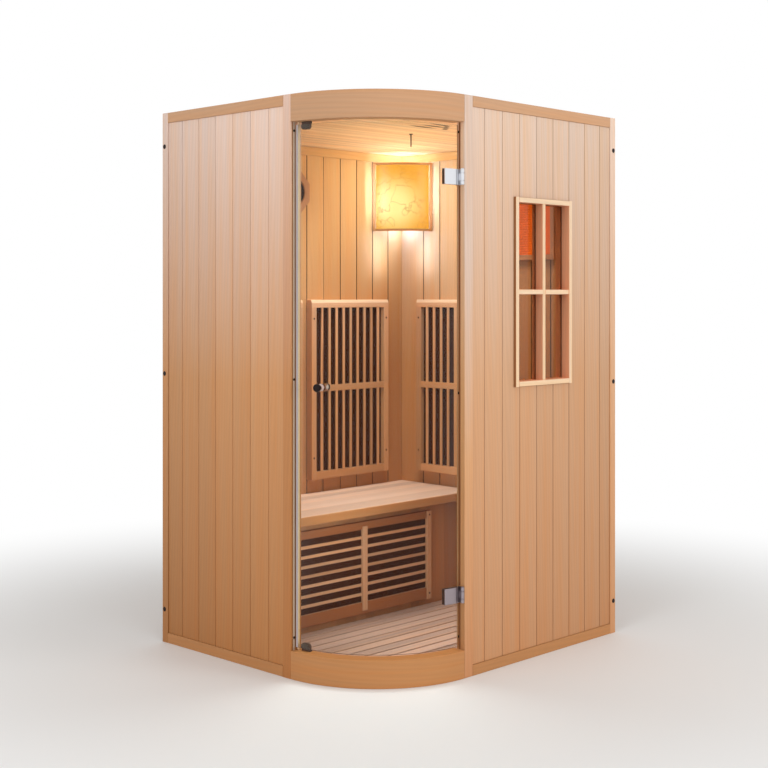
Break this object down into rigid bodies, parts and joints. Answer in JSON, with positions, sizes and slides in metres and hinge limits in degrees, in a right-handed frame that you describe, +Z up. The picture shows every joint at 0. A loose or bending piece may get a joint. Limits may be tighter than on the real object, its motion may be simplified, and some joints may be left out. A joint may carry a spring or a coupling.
{
  "type": "infrared sauna cabin",
  "caption": "Corner infrared sauna cabin of pale wood with a quarter-round glass door, a small window, a bench, slatted heater guards and a lamp in the rear corner.",
  "frame": {"origin": "centre of the bounding box, on the floor", "axes": "+Z up; +X along the bench wall to the side wall; +Y from the window panel to the bench wall; the glass door takes the corner at -X -Y"},
  "size_m": [1.25, 1.096, 1.9],
  "materials": {
    "hemlock": "oiled, satin",
    "heater_panel": "matt black laminate",
    "door_glass": "clear, polished",
    "window_glass": "clear, slightly bronze",
    "chrome": "satin chrome",
    "black_plastic": "satin black",
    "grey_plastic": "satin grey",
    "lamp_shade": "veined amber, glowing",
    "bulb": "opal",
    "orange_diffuser": "ribbed, glowing",
    "painted_steel": "powder coat"
  },
  "bodies": {
    "cabin": {"floor_base": "hemlock", "floor_slats": "hemlock", "door_lintel": "hemlock", "door_sill": "hemlock", "latch_jamb": "hemlock", "hinge_jamb": "hemlock", "door_stop_strip": "hemlock", "ceiling_boards": "hemlock", "roof_panel": "hemlock", "ceiling_trim": "hemlock", "window_frame": "hemlock", "window_inner_frame": "hemlock", "bench_seat": "hemlock", "bench_front_panel": "hemlock", "bench_bearer": "hemlock", "foot_heater_guard": "hemlock", "left_back_heater_guard": "hemlock", "right_back_heater_guard": "hemlock", "side_heater_guard": "hemlock", "lamp_frame": "hemlock", "speaker_bezel": "hemlock", "light_panel_frame": "hemlock", "left_wall_frame": "hemlock", "left_wall_outer_boards": "hemlock", "left_wall_inner_boards": "hemlock", "window_wall_frame": "hemlock", "window_wall_outer_boards": "hemlock", "window_wall_inner_boards": "hemlock", "bench_wall_frame": "hemlock", "bench_wall_outer_boards": "hemlock", "bench_wall_inner_boards": "hemlock", "side_wall_frame": "hemlock", "side_wall_outer_boards": "hemlock", "side_wall_inner_boards": "hemlock", "foot_heater_element": "heater_panel", "left_back_heater_element": "heater_panel", "right_back_heater_element": "heater_panel", "side_heater_element": "heater_panel", "window_glass": "window_glass", "upper_hinge_leaf": "chrome", "upper_hinge_pin": "chrome", "lower_hinge_leaf": "chrome", "lower_hinge_pin": "chrome", "speaker_driver": "black_plastic", "control_panel": "black_plastic", "lamp_holder": "black_plastic", "top_catch": "grey_plastic", "bottom_catch": "grey_plastic", "lamp_shade": "lamp_shade", "lamp_bulb": "bulb", "light_panel_diffuser": "orange_diffuser", "power_box": "painted_steel"},
    "door": {"door_glass": "door_glass", "outer_knob": "black_plastic", "inner_knob": "black_plastic", "upper_hinge_clamp": "chrome", "lower_hinge_clamp": "chrome"},
    "power_button": {"power_button": "grey_plastic"},
    "warmer_button": {"warmer_button": "grey_plastic"},
    "cooler_button": {"cooler_button": "grey_plastic"}
  },
  "joints": [
    {"name": "door_hinge", "type": "hinge", "parent": "cabin", "child": "door", "pos_m": [-0.2318, -0.538, 0.95], "axis": [0, 0, 1], "range_deg": [0, 110]},
    {"name": "power_button_press", "type": "slide", "parent": "cabin", "child": "power_button", "axis": [0, -1, 0], "range_m": [0, 0.0015], "stiffness_N_per_m": 400},
    {"name": "warmer_button_press", "type": "slide", "parent": "cabin", "child": "warmer_button", "axis": [0, -1, 0], "range_m": [0, 0.0015], "stiffness_N_per_m": 400},
    {"name": "cooler_button_press", "type": "slide", "parent": "cabin", "child": "cooler_button", "axis": [0, -1, 0], "range_m": [0, 0.0015], "stiffness_N_per_m": 400}
  ]
}
